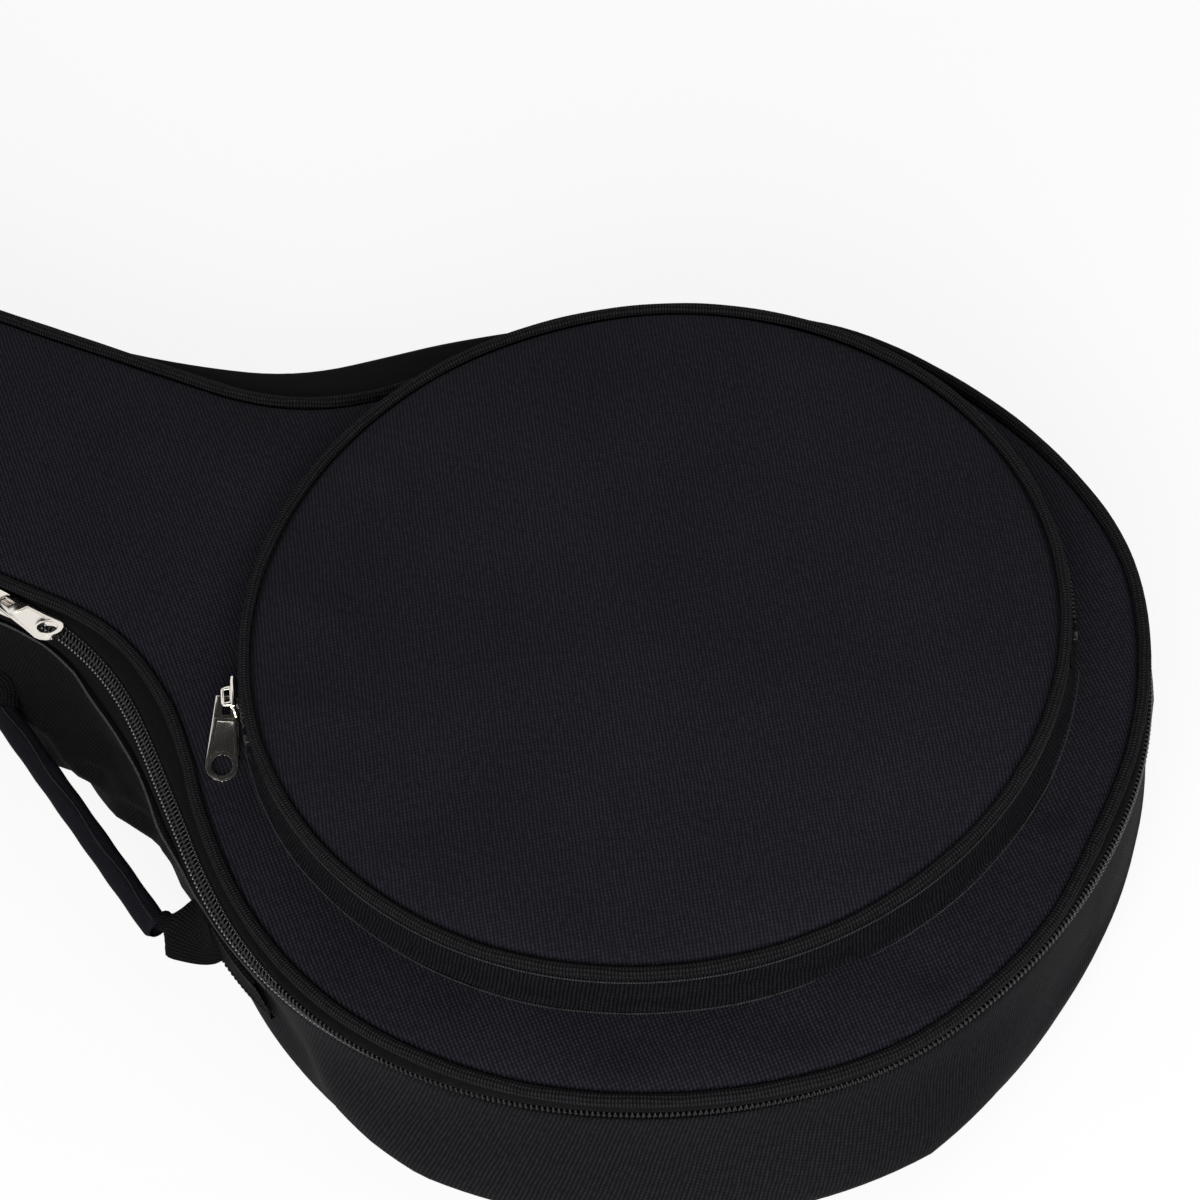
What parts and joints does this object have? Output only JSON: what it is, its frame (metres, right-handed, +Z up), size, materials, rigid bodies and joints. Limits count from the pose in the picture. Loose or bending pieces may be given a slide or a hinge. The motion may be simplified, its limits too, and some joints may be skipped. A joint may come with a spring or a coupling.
{
  "type": "soft banjo case",
  "caption": "Soft padded banjo case with a round body, a straight neck, a zipped lid, a round zipped front pocket and a side carry handle.",
  "frame": {"origin": "under the centre of the round body, on the back face that the case rests on", "axes": "+X along the case towards the body's round end, +Z up out of the front panel, the carry handle on the -Y side"},
  "size_m": [1.0195, 0.3788, 0.1185],
  "materials": {
    "panel_cloth": "woven polyester oxford, black, fine ribs",
    "wall_cloth": "woven polyester oxford, black, smoother side face",
    "piping_cloth": "knitted piping tape over a round cord, black",
    "foam": "soft polyethylene foam padding, dark grey",
    "lining": "thin smooth nylon lining, black",
    "zip_tape": "woven zip tape, black",
    "zip_coil": "nylon coil, black, slight sheen",
    "nickel": "nickel-plated zinc, bright, slightly warm",
    "webbing": "polypropylene webbing, black, coarse weave",
    "grip_cover": "webbing folded round the grip, black"
  },
  "bodies": {
    "shell": {"back_panel": "panel_cloth", "back_foam": "foam", "back_lining": "lining", "side_wall_cloth": "wall_cloth", "side_wall_foam_far": "foam", "side_wall_foam_near": "foam", "side_wall_lining": "lining", "base_seam_binding": "webbing", "main_zip_lower_tape": "zip_tape", "main_zip_lower_coil": "zip_coil", "main_zip_stop_body": "nickel", "main_zip_stop_neck": "nickel", "lid_hinge_cloth": "wall_cloth", "handle_anchor_body": "webbing", "handle_anchor_neck": "webbing"},
    "lid": {"front_panel": "panel_cloth", "front_foam": "foam", "front_lining": "lining", "front_piping": "piping_cloth", "main_zip_upper_tape": "zip_tape", "main_zip_upper_coil": "zip_coil", "pocket_panel_sewn": "panel_cloth", "pocket_foam_sewn": "foam", "pocket_piping_sewn": "piping_cloth", "pocket_wall_cloth": "wall_cloth", "pocket_zip_lower_tape": "zip_tape", "pocket_zip_lower_coil": "zip_coil", "pocket_zip_stop_neck": "nickel", "pocket_zip_stop_body": "nickel"},
    "pocket_flap": {"pocket_panel_flap": "panel_cloth", "pocket_foam_flap": "foam", "pocket_piping_flap": "piping_cloth", "pocket_zip_upper_tape": "zip_tape", "pocket_zip_upper_coil": "zip_coil"},
    "body_end_slider": {"body_end_slider": "nickel", "body_end_slider_bridge": "nickel"},
    "body_end_puller": {"body_end_puller": "nickel"},
    "head_end_slider": {"head_end_slider": "nickel", "head_end_slider_bridge": "nickel"},
    "head_end_puller": {"head_end_puller": "nickel"},
    "pocket_slider": {"pocket_slider": "nickel", "pocket_slider_bridge": "nickel"},
    "pocket_puller": {"pocket_puller": "nickel"},
    "handle": {"handle_grip": "grip_cover", "handle_webbing": "webbing"}
  },
  "joints": [
    {"name": "lid_hinge", "type": "hinge", "parent": "shell", "child": "lid", "pos_m": [0.00653, 0.18689, 0.0835], "axis": [-0.9994, 0.0349, 0], "range_deg": [0, 170], "deforming": ["lid_hinge_cloth"]},
    {"name": "pocket_flap_hinge", "type": "hinge", "parent": "lid", "child": "pocket_flap", "pos_m": [0.01108, -0.01639, 0.1187], "axis": [0.8435, 0.5371, 0], "range_deg": [0, 120]},
    {"name": "body_end_slider_run", "type": "hinge", "parent": "shell", "child": "body_end_slider", "pos_m": [-0.277, -0.26522, 0.0835], "axis": [0, 0, -1], "range_deg": [0, 38]},
    {"name": "head_end_slider_run", "type": "slide", "parent": "shell", "child": "head_end_slider", "axis": [-1, 0.0077, 0], "range_m": [0, 0.495]},
    {"name": "body_end_puller_flip", "type": "hinge", "parent": "body_end_slider", "child": "body_end_puller", "pos_m": [-0.26035, -0.07264, 0.0835], "axis": [0, 0, -1], "range_deg": [0, 85]},
    {"name": "head_end_puller_flip", "type": "hinge", "parent": "head_end_slider", "child": "head_end_puller", "pos_m": [-0.2768, -0.07192, 0.0835], "axis": [0, 0, 1], "range_deg": [0, 90]},
    {"name": "pocket_slider_run", "type": "hinge", "parent": "lid", "child": "pocket_slider", "pos_m": [-0.007, 0.012, 0.1052], "axis": [0, 0, -1], "range_deg": [0, 186]},
    {"name": "pocket_puller_flip", "type": "hinge", "parent": "pocket_slider", "child": "pocket_puller", "pos_m": [-0.14027, -0.08306, 0.1052], "axis": [0, 0, -1], "range_deg": [0, 165]},
    {"name": "side_handle_swing", "type": "hinge", "parent": "shell", "child": "handle", "pos_m": [-0.193, -0.1173, 0.046], "axis": [-0.9034, 0.4288, 0], "range_deg": [-45, 60], "deforming": ["handle_webbing"]}
  ]
}
